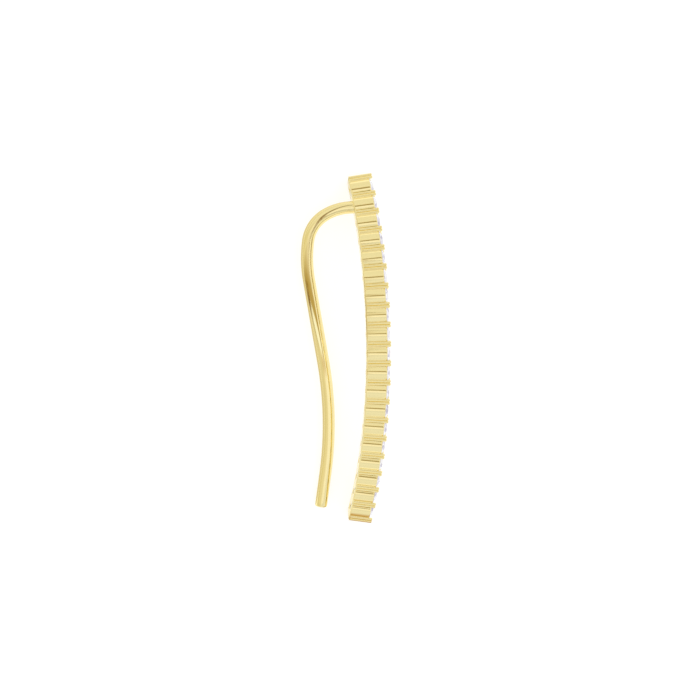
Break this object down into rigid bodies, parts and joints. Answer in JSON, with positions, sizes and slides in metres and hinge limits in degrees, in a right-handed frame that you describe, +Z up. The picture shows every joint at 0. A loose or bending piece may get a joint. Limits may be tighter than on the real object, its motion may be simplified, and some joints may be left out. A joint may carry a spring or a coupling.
{
  "type": "ear climber earring",
  "caption": "Curved bar of round brilliant stones in shared split prongs with cup collars, carried by one bent round ear wire soldered behind its upper end.",
  "frame": {"origin": "bottom centre of the jewel's bounding box, on the table that it lies on", "axes": "+X from the ear wire through the bar to the stones' tables, +Y along the bar to the end where the ear wire is soldered, +Z up from the table"},
  "size_m": [0.0062, 0.0256, 0.0047],
  "materials": {
    "gold": "polished yellow gold",
    "diamond": "clear faceted stone"
  },
  "bodies": {
    "root": {"setting_with_hook": "gold", "stone_01": "diamond", "stone_02": "diamond", "stone_03": "diamond", "stone_04": "diamond", "stone_05": "diamond", "stone_06": "diamond", "stone_07": "diamond", "stone_08": "diamond", "stone_09": "diamond", "stone_10": "diamond", "stone_11": "diamond", "stone_12": "diamond", "stone_13": "diamond", "stone_14": "diamond", "stone_15": "diamond", "stone_16": "diamond", "stone_17": "diamond", "stone_18": "diamond", "stone_19": "diamond"}
  },
  "joints": []
}
